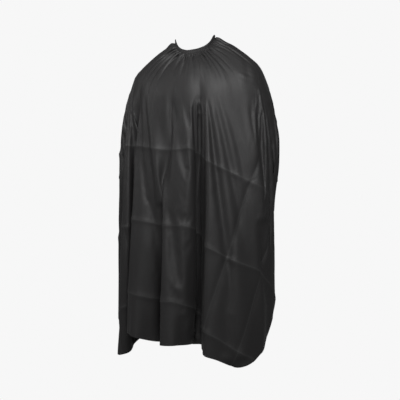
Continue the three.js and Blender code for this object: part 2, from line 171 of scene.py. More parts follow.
def curve_through(table, at):
    """A smooth curve through a table of points that never swings past them."""
    x, y = table[:, 0], table[:, 1]
    secant = np.diff(y) / np.diff(x)
    slope = np.empty_like(y)
    slope[0], slope[-1] = secant[0], secant[-1]
    before, after = secant[:-1], secant[1:]
    product = before * after
    total = np.where(product > 0, before + after, 1)
    slope[1:-1] = np.where(product > 0, 2 * product / total, 0)
    at = np.clip(np.asarray(at, float), x[0], x[-1])
    k = np.clip(np.searchsorted(x, at, side="right") - 1, 0, len(x) - 2)
    span = x[k + 1] - x[k]
    u = (at - x[k]) / span
    rise = y[k + 1] - y[k]
    leave, arrive = slope[k] * span, slope[k + 1] * span
    return y[k] + leave * u + (3 * rise - 2 * leave - arrive) * u**2 + (leave + arrive - 2 * rise) * u**3


def distance_along(path):
    """How far each point of a path is from its first one, walked along the path."""
    return np.concatenate([[0], np.cumsum(np.linalg.norm(np.diff(path, axis=0), axis=1))])


def neck_plan(azimuth):
    """The neckline in plan: an ellipse in front, a flat stretch at the back for the closure."""
    a = np.radians(azimuth)
    x = NECK_HALF_WIDTH * np.sin(a)
    past = np.clip((np.abs(x) - CLOSURE_HALF_LENGTH) / (NECK_HALF_WIDTH - CLOSURE_HALF_LENGTH), 0, 1)
    back = NECK_HALF_DEPTH * np.sqrt(1 - past**2)
    return x, np.where(np.cos(a) >= 0, -NECK_HALF_DEPTH * np.cos(a), back)


def neck_normal(azimuth):
    x0, y0 = neck_plan(azimuth - 0.5)
    x1, y1 = neck_plan(azimuth + 0.5)
    length = np.hypot(x1 - x0, y1 - y0)
    return (y1 - y0) / length, (x0 - x1) / length


def neckline_height(azimuth):
    return curve_through(NECKLINE, azimuth) * MM


def flank_at(azimuth, middle):
    return 1 - smooth(0.25 * FLANK_REACH, FLANK_REACH, np.abs(azimuth - middle))


def hanging_form(azimuth, drop):
    """A point of the smooth hanging shape, at an azimuth and a drop below the neck seam."""
    x, y = neck_plan(azimuth)
    breadth = curve_through(SIDE_PROFILE, drop / MM) * MM
    front = curve_through(FRONT_PROFILE, drop / MM) * MM
    back = curve_through(BACK_PROFILE, drop / MM) * MM
    depth = np.where(y < 0, front, back)
    z = neckline_height(azimuth) - BAND_HEIGHT - SEAM_DROP - drop
    nx, ny = neck_normal(azimuth)
    flank = flank_at(azimuth, LEFT_FLANK_AZIMUTH) * curve_through(LEFT_FLANK, drop / MM) * MM
    flank = flank + flank_at(azimuth, RIGHT_FLANK_AZIMUTH) * curve_through(RIGHT_FLANK, drop / MM) * MM
    x = x / NECK_HALF_WIDTH * breadth + nx * flank
    y = y / NECK_HALF_DEPTH * depth + ny * flank
    return np.stack([x, y, z], -1)


def cut_radius(direction):
    return 1 / np.hypot(np.sin(direction) / NECK_CUT_HALF_WIDTH, np.cos(direction) / NECK_CUT_DEPTH)


def panel_radius(direction):
    across, along = np.abs(np.sin(direction)), np.abs(np.cos(direction))
    half = PANEL_WIDTH / 2
    straight = np.minimum(half / np.maximum(across, 1e-9), PANEL_LENGTH / np.maximum(along, 1e-9))
    cx, cy = half - CORNER_RADIUS, PANEL_LENGTH - CORNER_RADIUS
    projected = across * cx + along * cy
    square = cx**2 + cy**2 - CORNER_RADIUS**2
    rounded = projected + np.sqrt(np.maximum(0, projected**2 - square))
    corner = (straight * across > cx) & (straight * along > cy)
    return np.where(corner, rounded, straight)


def flat_grid():
    """Directions, radii and flat places of the panel's grid points, columns by rows."""
    share = np.linspace(-1, 1, COLUMNS + 1)
    direction = np.radians(90 * (0.86 * share + 0.14 * share**3))
    rows = np.linspace(0, 1, ROWS + 1)
    rows = 0.72 * rows + 0.28 * rows**2
    inner, outer = cut_radius(direction), panel_radius(direction)
    radius = inner[:, None] + rows[None, :] * (outer - inner)[:, None]
    flat = np.stack([radius * np.sin(direction)[:, None], radius * np.cos(direction)[:, None]], -1)
    return direction, radius, flat


def worn_azimuth(direction, length):
    """Where a direction of the flat panel hangs, at a length of cloth below the neck."""
    at_neck, at_elbow, at_hem = (curve_through(CRESTS[:, [0, k]], np.degrees(direction)) for k in (1, 2, 3))
    below_neck = smooth(0.05, 0.45, length)
    below_elbow = smooth(0.42, 1.1, length)
    return at_neck + (at_elbow - at_neck) * below_neck + (at_hem - at_elbow) * below_elbow


def drop_along(azimuth, length):
    """How far below the seam the smooth form is after a length of cloth, walked down at one azimuth."""
    drops = np.linspace(0, 1.3, 261)
    points = hanging_form(np.full_like(drops, azimuth), drops)
    return np.interp(length, distance_along(points), drops)


def prearranged_cloth(direction, radius):
    """The panel laid over the form with its fullness taken up in folds between the crests."""
    inner = radius[:, 0]
    azimuths = np.linspace(RIGHT_END, LEFT_END, 141)
    lengths = np.linspace(0, LONGEST_CLOTH, 146)
    drop_table = np.array([drop_along(a, lengths) for a in azimuths])
    form = hanging_form(azimuths[:, None] + 0 * lengths[None, :], drop_table)

    def form_at(azimuth, length):
        u = np.clip((azimuth - azimuths[0]) / (azimuths[1] - azimuths[0]), 0, len(azimuths) - 1.0001)
        v = np.clip(length / (lengths[1] - lengths[0]), 0, len(lengths) - 1.0001)
        i, j = u.astype(int), v.astype(int)
        fu, fv = (u - i)[..., None], (v - j)[..., None]
        return (
            form[i, j] * (1 - fu) * (1 - fv) + form[i + 1, j] * fu * (1 - fv)
            + form[i, j + 1] * (1 - fu) * fv + form[i + 1, j + 1] * fu * fv
        )

    crest_direction = np.radians(CRESTS[:, 0])
    samples = 49
    t = np.linspace(0, 1, samples)
    placed = np.zeros(radius.shape + (3,))
    level = np.linspace(0, LONGEST_CLOTH, 117)
    hold = np.zeros((len(level), len(direction), 3))
    for k, s in enumerate(level):
        for c in range(len(crest_direction) - 1):
            d0, d1 = crest_direction[c], crest_direction[c + 1]
            dirs = d0 + (d1 - d0) * t
            r = cut_radius(dirs) + s
            flat = np.stack([r * np.sin(dirs), r * np.cos(dirs)], -1)
            flat_len = distance_along(flat)
            a0, a1 = worn_azimuth(np.array([d0, d1]), s)
            az = a0 + (a1 - a0) * t
            base = form_at(az, np.full_like(az, s))
            nx, ny = neck_normal(az)
            sink = (0.5 - 0.5 * np.cos(2 * math.pi * t)) ** CRESTS[c, 4]
            inwards = -np.stack([nx, ny, 0 * nx], -1) * sink[:, None]
            low, high = 0.0, DEEPEST_FOLD
            for _ in range(18):
                depth = (low + high) / 2
                made = np.linalg.norm(np.diff(base + depth * inwards, axis=0), axis=1).sum()
                if made < flat_len[-1]:
                    low = depth
                else:
                    high = depth
            depth = (low + high) / 2 * float(smooth(0.03, 0.3, s))
            curve = base + depth * inwards
            worn_len = distance_along(curve)
            inside = (direction >= d0 - 1e-9) & (direction <= d1 + 1e-9)
            flat_at = np.interp(direction[inside], dirs, flat_len)
            worn_at = flat_at / flat_len[-1] * worn_len[-1]
            for axis in range(3):
                hold[k, inside, axis] = np.interp(worn_at, worn_len, curve[:, axis])
    length = radius - inner[:, None]
    v = np.clip(length / (level[1] - level[0]), 0, len(level) - 1.0001)
    j = v.astype(int)
    f = (v - j)[..., None]
    columns = np.arange(len(direction))[:, None] + 0 * j
    placed = hold[j, columns] * (1 - f) + hold[j + 1, columns] * f
    return placed


def grid_faces(columns, rows):
    c, r = np.meshgrid(np.arange(columns), np.arange(rows), indexing="ij")
    a = c * (rows + 1) + r
    return np.stack([a, a + 1, a + rows + 2, a + rows + 1], -1).reshape(-1, 4)


def mesh_object(name, points, faces):
    mesh = bpy.data.meshes.new(name)
    faces = faces if isinstance(faces, list) else faces.tolist()
    mesh.from_pydata(np.asarray(points).reshape(-1, 3).tolist(), [], faces)
    mesh.update()
    made = bpy.data.objects.new(name, mesh)
    bpy.context.scene.collection.objects.link(made)
    return made


def grid_normals(grid):
    """Normals of a grid of points, pointing away from the wearer."""
    across = np.gradient(grid, axis=0)
    down = np.gradient(grid, axis=1)
    normal = np.cross(down, across)
    return normal / np.maximum(np.linalg.norm(normal, axis=-1, keepdims=True), 1e-12)


def puckered(direction, radius, placed):
    """Small gathers under the neck band, as deep as the cut edge is longer than the band."""
    length = radius - radius[:, :1]
    rng = np.random.default_rng(11)
    turns = (direction / math.pi + 0.5) * PUCKERS
    drift = np.zeros_like(direction)
    for n in range(2, 9):
        drift += rng.normal(0, 0.5 / n) * np.sin(n * direction * 2 + rng.uniform(0, 6.28))
    phase = 2 * math.pi * (turns + drift)
    strength = 1 + 0.45 * np.sin(direction * 9 + 1.1) * np.cos(direction * 5)
    amplitude = PUCKER_DEPTH * strength[:, None] * np.exp(-length / 0.1)
    normal = grid_normals(placed)
    wave = np.sin(phase)[:, None]
    return placed + normal * (amplitude * wave)[..., None]


direction, radius, flat = flat_grid()
placed = prearranged_cloth(direction, radius)
placed = puckered(direction, radius, placed)
faces = grid_faces(COLUMNS, ROWS)


# ---------------------------------------------------------------- the form that wears the cape
FORM_CLEARANCE = 7 * MM
SETTLE_FRAMES = 40
TOUCH_DISTANCE = 3 * MM
# How firmly each point below the seam is held near the place where it was laid out.
SHAPE_HOLD = 0.12
# How the cloth bears pulling, pushing, shearing and bending while it settles.
LIGHT_NYLON = {
    "quality": 6, "mass": 0.12, "air_damping": 1.2, "pin_stiffness": 1.0,
    "tension_stiffness": 25, "compression_stiffness": 25, "shear_stiffness": 10, "bending_stiffness": 0.25,
    "tension_damping": 8, "compression_damping": 8, "shear_damping": 8, "bending_damping": 0.6,
}


def wearer_form():
    """The neck, shoulders and body under the cloth; it only holds the cloth while it settles."""
    azimuths = np.linspace(-180, 180, 97)[:-1]
    drops = np.concatenate([np.linspace(0, 0.3, 25), np.linspace(0.34, 1.3, 22)])
    az, dr = np.meshgrid(azimuths, drops, indexing="ij")
    form = hanging_form(az, dr)
    narrow = 1 - 0.10 * smooth(0.25, 0.5, dr) - 0.22 * smooth(0.4, 1.1, dr)
    shallow = 1 - 0.3 * smooth(0.13, 0.38, dr) - 0.27 * smooth(0.35, 0.85, dr)
    form[..., 0] *= narrow
    form[..., 1] *= shallow
    nx, ny = neck_normal(az)
    form[..., 0] -= nx * FORM_CLEARANCE
    form[..., 1] -= ny * FORM_CLEARANCE
    form[..., 2] -= FORM_CLEARANCE * (1 - smooth(0.05, 0.2, dr))
    top = form[:, :1].copy()
    top[..., 0] *= 0.93
    top[..., 1] *= 0.93
    top[..., 2] += 0.03
    form = np.concatenate([top, form], axis=1)
    rows = form.shape[1] - 1
    made = grid_faces(len(azimuths) - 1, rows).tolist()
    last = (len(azimuths) - 1) * (rows + 1)
    for r in range(rows):
        made.append([last + r, last + r + 1, r + 1, r])
    return mesh_object("wearer_form", form, made)


def settle(cloth_points):
    """Lets the panel hang from the neck seam over the form, with its flat cut as its true size."""
    scene = bpy.context.scene
    cloth = mesh_object("panel_settling", cloth_points, faces)
    cloth.shape_key_add(name="Basis")
    cut = cloth.shape_key_add(name="flat_cut")
    flat3 = np.concatenate([flat, np.zeros(flat.shape[:2] + (1,))], -1).reshape(-1, 3)
    cut.data.foreach_set("co", flat3.astype(np.float32).ravel())
    cut.value = 0
    cloth.active_shape_key_index = 0
    length = (radius - radius[:, :1]).reshape(-1)
    hold = cloth.vertex_groups.new(name="hold")
    row = np.tile(np.arange(ROWS + 1), COLUMNS + 1)
    guide = SHAPE_HOLD * smooth(0.02, 0.12, length)
    weights = np.where(row == 0, 1.0, guide)
    for value in np.unique(np.round(weights, 3)):
        ids = np.nonzero(np.round(weights, 3) == value)[0]
        hold.add(ids.tolist(), float(value), "REPLACE")
    form = wearer_form()
    form.modifiers.new("touch", "COLLISION")
    form.collision.thickness_outer = TOUCH_DISTANCE
    form.collision.cloth_friction = 8
    drape = cloth.modifiers.new("drape", "CLOTH")
    for setting, value in LIGHT_NYLON.items():
        setattr(drape.settings, setting, value)
    drape.settings.vertex_group_mass = "hold"
    drape.settings.rest_shape_key = cut
    touch = drape.collision_settings
    touch.collision_quality = 2
    touch.distance_min = TOUCH_DISTANCE
    touch.use_self_collision = True
    touch.self_distance_min = TOUCH_DISTANCE
    touch.self_friction = 4
    drape.point_cache.frame_start = 1
    drape.point_cache.frame_end = SETTLE_FRAMES
    scene.frame_start = 1
    scene.frame_end = SETTLE_FRAMES
    for step in range(1, SETTLE_FRAMES + 1):
        scene.frame_set(step)
    settled = cloth.evaluated_get(bpy.context.evaluated_depsgraph_get())
    points = np.empty(len(settled.data.vertices) * 3)
    settled.data.vertices.foreach_get("co", points)
    points = points.reshape(-1, 3)
    for made in (cloth, form):
        data = made.data
        bpy.data.objects.remove(made, do_unlink=True)
        bpy.data.meshes.remove(data)
    scene.frame_set(1)
    return points.reshape(COLUMNS + 1, ROWS + 1, 3)


placed = settle(placed)

# ---------------------------------------------------------------- the settled panel, made finer
FINE_COLUMNS = 402
FINE_ROWS = 188
EDGE_COLUMNS = 8
EDGE_ROWS = 26
# How far the hem ends above its flat cut once worn, in millimetres, by direction on the panel.
HEM_RISE = np.array(
    [
        (-90, 0), (-34, 0), (-27, -16), (-20, -10), (-17, 46), (-12, 44), (-6, 18), (2, 24), (9, 30),
        (15, 50), (18, 42), (22, 14), (26, 0), (30, -40), (34, -60), (38, -40), (45, 0), (90, 0),
    ],
    float,
)
# How far the hem stands out past the settled cloth, in millimetres, by direction on the panel.
HEM_SPREAD = np.array(
    [
        (-90, 0), (16, 0), (20, 4), (23, 2), (26, -8), (28, 8), (30, 22), (32, -1), (34, -20), (37, 0),
        (40, 0), (44, -24), (47, -20), (50, 0), (90, 0),
    ],
    float,
)
# How far the hem is drawn sideways, towards the wearer's left, in millimetres, by direction on the panel.
HEM_SLIDE = np.array([(-90, 0), (-21, 0), (-17, -18), (-12, -24), (-8, -12), (-4, 0), (90, 0)], float)
STITCH_INSET = 10.2 * MM
CREASES_ACROSS = (0.315, 0.59, 0.865, 1.14)
CREASES_ALONG = (-0.506, -0.355, 0.355, 0.506)
# The wearer's left half was folded a little askew: the crosswise creases drop as they run outwards.
ASKEW = 0.22
ASKEW_FROM = 0.03
# Heights and depths of the pressed creases, and how far they wander from a straight line.
CREASE_HEIGHT = 2.5 * MM
CREASE_DEPTH = 4.6 * MM
CREASE_WANDER = 3 * MM
STAR_HEIGHT = 2.6 * MM
DENT_COUNT = 46
DENT_DEPTH = 1.6 * MM
GATHER_COUNT = 46
# How far the panel's cut edge goes up inside the casing, and how much of the cloth below follows it.
SEAM_TUCK = 3.5 * MM
TAB_TUCK = 4.5 * MM
TUCK_REACH = 15 * MM
# Folds that stay sharp down to the hem: direction near the neck and at the hem, depth and half breadth in
# millimetres, and how far below the neck each one starts, in metres.
SHARP_VALLEYS = ((-20, -19, 36, 15, 0.16), (-2.5, -5.2, 24, 15, 0.08), (10, 8.5, 14, 16, 0.06))


def resampled(grid, at, axis):
    """A grid with its steps along one axis at other places, on a smooth curve through the old ones."""
    grid = np.moveaxis(grid, axis, 0)
    last = len(grid) - 1
    k = np.minimum(at.astype(int), last - 1)
    f = (at - k).reshape((-1,) + (1,) * (grid.ndim - 1))
    before, start, end, after = (grid[np.clip(k + step, 0, last)] for step in (-1, 0, 1, 2))
    bent = (2 * before - 5 * start + 4 * end - after) * f**2 + (3 * start - before - 3 * end + after) * f**3
    return np.moveaxis(0.5 * (2 * start + (end - before) * f + bent), 0, axis)


def fine_steps(coarse, fine, edge, both_ends):
    """Places along a coarse row of steps: even ones, and closer ones in the step at its end or ends."""
    first = 1 if both_ends else 0
    middle = np.linspace(first, coarse - 1, fine - 1)
    closing = coarse - 1 + np.linspace(0, 1, edge + 1)[1:]
    opening = np.linspace(0, 1, edge + 1)[:-1] if both_ends else np.empty(0)
    return np.concatenate([opening, middle, closing])


def ripple(at, longest, count, seed):
    """A smooth random wave of about unit height, made of a few sines."""
    rng = np.random.default_rng(seed)
    made = 0
    for n in range(1, count + 1):
        height = rng.normal(0, 1)
        made = made + height * np.sin(2 * math.pi * at * n / longest + rng.uniform(0, 6.28)) / n**0.5
    return made / count**0.5


def tent(offset, width):
    """The height of a pressed crease, from its line outwards: a narrow rounded top, then sides that fall."""
    top = 2.5 * MM
    return np.exp(-(np.sqrt(offset**2 + top**2) - top) / width)


length = radius - radius[:, :1]
# The cloth just below the band is evened out before its gathers are laid on.
EVENING_PASSES = 14
easing = 0.5 * (1 - smooth(0.1, 0.2, length[:, 1:-1]))[..., None]
for _ in range(EVENING_PASSES):
    placed[:, 1:-1] += easing * ((placed[:, :-2] + placed[:, 2:]) / 2 - placed[:, 1:-1])
rise = curve_through(HEM_RISE, np.degrees(direction))[:, None] * MM
spread = curve_through(HEM_SPREAD, np.degrees(direction))[:, None] * MM
hem_share = (length / length[:, -1:]) ** 2.2
hem_azimuth = worn_azimuth(direction, 1.0)
side_x, side_y = neck_normal(hem_azimuth)
slide = curve_through(HEM_SLIDE, np.degrees(direction))[:, None] * MM
moved_x = side_x[:, None] * spread - side_y[:, None] * slide
moved_y = side_y[:, None] * spread + side_x[:, None] * slide
placed = placed + np.stack([moved_x, moved_y, rise], -1) * hem_share[..., None]

column_steps = fine_steps(COLUMNS, FINE_COLUMNS, EDGE_COLUMNS, True)
row_steps = fine_steps(ROWS, FINE_ROWS, EDGE_ROWS, False)
cloth = resampled(resampled(placed, column_steps, 0), row_steps, 1)
flat_fine = resampled(resampled(flat, column_steps, 0), row_steps, 1)
direction_fine = resampled(direction, column_steps, 0)[:, None]
across_flat, along_flat = flat_fine[..., 0], flat_fine[..., 1]
radius_fine = np.hypot(across_flat, along_flat)
length_fine = radius_fine - radius_fine[:, :1]

outline = np.gradient(flat_fine[:, -1], axis=0)
outline /= np.linalg.norm(outline, axis=-1, keepdims=True)
outwards = np.stack([-outline[:, 1], outline[:, 0]], -1)
radial = flat_fine[:, -1] / radius_fine[:, -1:]
slant = np.clip(np.abs((outwards * radial).sum(-1)), 0.5, 1)[:, None]
hem_distance = (radius_fine[:, -1:] - radius_fine) * slant

away = grid_normals(cloth)

lift = np.zeros_like(length_fine)
for near_neck, near_hem, deep, wide, start in SHARP_VALLEYS:
    centre = near_neck + (near_hem - near_neck) * smooth(0.1, 0.6, length_fine)
    off = radius_fine * (direction_fine - np.radians(centre))
    valley = np.exp(-((np.abs(off) / (wide * MM)) ** 1.5))
    lift -= deep * MM * valley * smooth(start, start + 0.25, length_fine)

# Creases from being sold folded flat: straight across and along the cut, sharpest where both meet.
folded_along = along_flat - ASKEW * np.maximum(across_flat - ASKEW_FROM, 0)
for n, place in enumerate(CREASES_ACROSS):
    wander = CREASE_WANDER * ripple(across_flat, 0.9, 4, 20 + n)
    strength = np.maximum(1 + 0.5 * ripple(across_flat, 0.7, 4, 30 + n), 0.2)
    if n == 0:
        strength = strength * smooth(0.16, 0.3, np.abs(across_flat))
    lift += CREASE_HEIGHT * strength * tent(folded_along - place - wander, 9 * MM)
for n, place in enumerate(CREASES_ALONG):
    wander = CREASE_WANDER * ripple(along_flat, 0.9, 4, 40 + n)
    strength = smooth(0.5, 0.62, along_flat) * (0.9 + 0.45 * ripple(along_flat, 0.8, 3, 50 + n))
    lift -= CREASE_DEPTH * np.maximum(strength, 0) * tent(across_flat - place - wander, 11 * MM)
for n, down in enumerate(CREASES_ACROSS):
    for m, side in enumerate(CREASES_ALONG):
        if n == 0 and abs(side) < 0.3:
            continue
        dx, dy = across_flat - side, folded_along - down
        turn = np.arctan2(dy, dx)
        star = np.exp(-np.hypot(dx, dy) / (20 * MM)) * (0.4 + 0.6 * np.cos(3 * turn + n + 2 * m))
        lift += STAR_HEIGHT * star

# Loose wrinkles that run down the cloth, and soft dents between the creases.
for n, (wide, tall) in enumerate([(0.16, 0.8 * MM), (0.075, 0.45 * MM), (0.035, 0.2 * MM)]):
    run = across_flat + 0.05 * ripple(along_flat, 1.1, 3, 60 + n)
    lift += tall * ripple(run, wide * 4, 4, 70 + n) * (0.6 + 0.4 * ripple(along_flat, 0.6, 3, 80 + n))
rng = np.random.default_rng(5)
for _ in range(DENT_COUNT):
    at_x, at_y = rng.uniform(-0.6, 0.6), rng.uniform(0.2, 1.28)
    lean = rng.uniform(-0.9, 0.9)
    wide, long = rng.uniform(9, 20) * MM, rng.uniform(35, 90) * MM
    dx, dy = across_flat - at_x, along_flat - at_y
    off, on = dx * math.cos(lean) - dy * math.sin(lean), dx * math.sin(lean) + dy * math.cos(lean)
    lift += rng.uniform(-1, 1) * DENT_DEPTH * np.exp(-((off / wide) ** 2) - (on / long) ** 2)

# Gathers that fan out from the neck band, some short and some long.
rng = np.random.default_rng(8)
turns = (direction_fine / math.pi + 0.5) * GATHER_COUNT + 0.35 * ripple(direction_fine, 1.4, 5, 90)
ridge = 1 - (0.5 - 0.5 * np.cos(2 * math.pi * turns)) ** 2.4
each = rng.uniform(0, 1, GATHER_COUNT + 2)
own = each[np.clip(np.round(turns).astype(int), 0, GATHER_COUNT)]
reach = (28 + 75 * own**2) * MM
height = (6 + 8 * own) * MM
lift += height * (ridge - 0.6) * np.exp(-length_fine / reach)

# The cloth bunches up beside both ends of the band, where the elastic draws it together behind the neck.
azimuth_fine = worn_azimuth(direction_fine[:, 0], 0.03)[:, None]
for middle, spread, tall, seed in ((104, 34, 13, 3), (-86, 26, 12, 4)):
    near = np.exp(-(((azimuth_fine - middle) / spread) ** 2))
    fall = np.exp(-(((length_fine - 16 * MM) / (22 * MM)) ** 2))
    waves = 0.7 + 0.3 * np.sin(azimuth_fine * 0.42 + seed + ripple(length_fine, 0.2, 3, seed))
    lift += tall * MM * near * fall * waves

# The first row stays where the band is sewn over it.
lift *= smooth(0, 12 * MM, length_fine)

# Stitching draws the hem in a little between its ends.
pucker = ripple(8 * MM * np.arange(1, len(cloth) + 1)[:, None], 0.06, 5, 99)
lift += 0.5 * MM * pucker * np.exp(-hem_distance / (16 * MM))
cloth = cloth + away * lift[..., None]

# The first rows are drawn up between the two layers of the band's casing.
seam_azimuth = worn_azimuth(direction_fine[:, 0], 0.0)
seam_x, seam_y = neck_plan(seam_azimuth)
seam_out_x, seam_out_y = neck_normal(seam_azimuth)
seam_z = neckline_height(seam_azimuth) - BAND_HEIGHT + SEAM_TUCK
seam = np.stack([seam_x, seam_y, seam_z], -1)
seam[:, 0] += seam_out_x * CASING_THICKNESS / 2
seam[:, 1] += seam_out_y * CASING_THICKNESS / 2
in_band = 1 - smooth(142, 148, seam_azimuth)[:, None]
under_tab = cloth[:, 0] + np.array([0, 0, TAB_TUCK])
seam = in_band * seam + (1 - in_band) * under_tab
pull = 1 - smooth(0, TUCK_REACH, length_fine)
cloth = cloth + pull[..., None] * (seam - cloth[:, 0])[:, None]
away = grid_normals(cloth)


def along_columns(values, rows):
    """Values of a grid at one fractional row for each column."""
    k = np.minimum(rows.astype(int), values.shape[1] - 2)
    f = (rows - k).reshape((-1,) + (1,) * (values.ndim - 2))
    column = np.arange(len(values))
    return values[column, k] * (1 - f) + values[column, k + 1] * f


def rows_from_hem(distance):
    """The fractional row of each column that lies this far from the hem, measured square to it."""
    numbers = np.arange(radius_fine.shape[1])
    target = radius_fine[:, -1] - distance / slant[:, 0]
    return np.array([np.interp(t, r, numbers) for t, r in zip(target, radius_fine)])


# How many columns in from each back edge its turned hem can reach.
EDGE_REACH = 40
# The turned hem lies behind the cloth: distance from the edge and depth behind the face.
TURNED = np.array([(-0.15, 0.35), (0.5, 0.75), (4, 0.85), (8, 0.85), (11.6, 0.8), (12, 0.45)]) * MM


def with_turned_hem(values, shift):
    """A grid with extra rows for the hem, moved back by shift times each row's depth."""
    extra = []
    for distance, depth in TURNED:
        rows = rows_from_hem(max(distance, 0))
        behind = 0 if shift is None else depth * along_columns(shift, rows)
        extra.append(along_columns(values, rows) - behind)
    return np.concatenate([values, np.stack(extra, 1)], 1)


def with_turned_sides(values, flat_along, shift):
    """The same at both back edges, where the extra columns lie behind the cloth."""
    sides = []
    for step in (1, -1):
        lines = []
        source, across = values[::step], flat_along[::step]
        behind = None if shift is None else shift[::step]
        for distance, depth in TURNED:
            line = []
            for row in range(values.shape[1]):
                at = np.interp(max(distance, 0), across[:EDGE_REACH, row], np.arange(EDGE_REACH))
                k = min(int(at), EDGE_REACH - 2)
                f = at - k
                point = source[k, row] * (1 - f) + source[k + 1, row] * f
                if behind is not None:
                    point = point - depth * (behind[k, row] * (1 - f) + behind[k + 1, row] * f)
                line.append(point)
            lines.append(line)
        sides.append(np.array(lines))
    return np.concatenate([sides[0][::-1], values, sides[1]], 0)


hemmed = with_turned_hem(cloth, away)
hemmed_away = with_turned_hem(away, None)
hemmed_flat = with_turned_hem(flat_fine, None)
along_hemmed = hemmed_flat[..., 1]
whole = with_turned_sides(hemmed, along_hemmed, hemmed_away)
whole_flat = with_turned_sides(hemmed_flat, along_hemmed, None)
whole_faces = grid_faces(whole.shape[0] - 1, whole.shape[1] - 1)


def give_uv(made, flat_places):
    """Writes places on the flat cloth, in metres, as the mesh's texture coordinates."""
    layer = made.data.uv_layers.new(name="cloth_uv")
    corners = np.empty(len(made.data.loops), int)
    made.data.loops.foreach_get("vertex_index", corners)
    layer.data.foreach_set("uv", np.asarray(flat_places).reshape(-1, 2)[corners].astype(np.float32).ravel())


def shade_smooth(made):
    made.data.polygons.foreach_set("use_smooth", np.ones(len(made.data.polygons), bool))


panel = mesh_object("cape_panel", whole, whole_faces)
give_uv(panel, whole_flat)
shade_smooth(panel)
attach(panel, "cape")
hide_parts("cape_body")


# ---------------------------------------------------------------- stitching
def dashes(path, normals, offset, pitch=3.4 * MM, long=2.5 * MM, wide=0.5 * MM, thick=0.35 * MM):
    """Short straight stitches along a path, lying on its surface."""
    path = path + normals * offset
    walked = distance_along(path)
    at = np.arange(pitch, walked[-1] - pitch, pitch)

    def values_at(values, places):
        return np.stack([np.interp(places, walked, values[:, k]) for k in range(3)], -1)

    middle = values_at(path, at)
    ahead = values_at(path, at + 0.5 * MM) - middle
    ahead /= np.maximum(np.linalg.norm(ahead, axis=1, keepdims=True), 1e-9)
    up = values_at(normals, at)
    side = np.cross(up, ahead)
    side /= np.maximum(np.linalg.norm(side, axis=1, keepdims=True), 1e-9)
    up = np.cross(ahead, side)
    corners = []
    for z, x_share, y_share in ((-1, 1, 1), (1, 0.8, 0.7)):
        for x, y in ((-1, -1), (1, -1), (1, 1), (-1, 1)):
            along = ahead * (x * x_share * long / 2)
            corners.append(middle + along + side * (y * y_share * wide / 2) + up * (z * thick / 2))
    points = np.stack(corners, 1).reshape(-1, 3)
    base = np.array([(0, 3, 2, 1), (4, 5, 6, 7), (0, 1, 5, 4), (1, 2, 6, 5), (2, 3, 7, 6), (3, 0, 4, 7)])
    return points, (base[None] + 8 * np.arange(len(at))[:, None, None]).reshape(-1, 4)


def joined(parts):
    """Several sets of points and faces as one."""
    points, faces, start = [], [], 0
    for some_points, some_faces in parts:
        points.append(some_points)
        faces.append(some_faces + start)
        start += len(some_points)
    return np.concatenate(points), np.concatenate(faces)


stitch_rows = rows_from_hem(STITCH_INSET)
hem_path = along_columns(cloth, stitch_rows)[3:-3]
hem_away = along_columns(away, stitch_rows)[3:-3]
lines = [dashes(hem_path, hem_away, 0.15 * MM), dashes(hem_path, hem_away, -1.05 * MM)]
for step in (1, -1):
    edge, edge_away, flat_edge = (grid[::step][:EDGE_REACH] for grid in (cloth, away, along_flat))
    numbers = np.arange(EDGE_REACH)
    path, normals = [], []
    for row in range(2, cloth.shape[1] - 8):
        at = np.interp(STITCH_INSET, flat_edge[:, row], numbers)
        k = min(int(at), EDGE_REACH - 2)
        path.append(edge[k, row] * (1 - (at - k)) + edge[k + 1, row] * (at - k))
        normals.append(edge_away[k, row])
    lines.append(dashes(np.array(path), np.array(normals), 0.15 * MM))
    lines.append(dashes(np.array(path), np.array(normals), -1.05 * MM))
hem_stitching = mesh_object("hem_stitching", *joined(lines))
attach(hem_stitching, "cape")


# ---------------------------------------------------------------- neck band and tabs
SECTION_POINTS = 30


def folded_strip(centre, normals, tops, heights, thickness, pucker=None, droop=0.0):
    """A strip of cloth folded over along its top and open along its bottom, swept along stations."""
    turn = np.radians(np.linspace(266, -86, SECTION_POINTS))
    out = 0.5 + 0.5 * np.sign(np.cos(turn)) * np.abs(np.cos(turn)) ** 0.35
    down = 0.5 - 0.5 * np.sign(np.sin(turn)) * np.abs(np.sin(turn)) ** 0.75
    offset = thickness[:, None] * out[None, :]
    drop = heights[:, None] * down[None, :] + droop * (down[None, :] > 0.5)
    if pucker is not None:
        swell = 0.75 + 0.45 * np.cos(2 * math.pi * down[None, :])
        offset = offset + pucker[:, None] * (out[None, :] - 0.25) * swell
        drop = drop + 0.35 * pucker[:, None] * np.cos(math.pi * down[None, :])
    x = centre[:, None, 0] + normals[:, None, 0] * offset
    y = centre[:, None, 1] + normals[:, None, 1] * offset
    points = np.stack([x, y, tops[:, None] - drop], -1)
    walked = distance_along(centre)
    girth = distance_along(points[len(points) // 2])
    places = np.stack(np.meshgrid(walked, girth, indexing="ij"), -1)
    return points, grid_faces(len(walked) - 1, len(girth) - 1), places


def strip_object(name, points, faces, places, body, node, slot_name):
    made = mesh_object(name, points, faces)
    give_uv(made, places)
    shade_smooth(made)
    if body:
        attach(made, body)
    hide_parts(node)
    return made


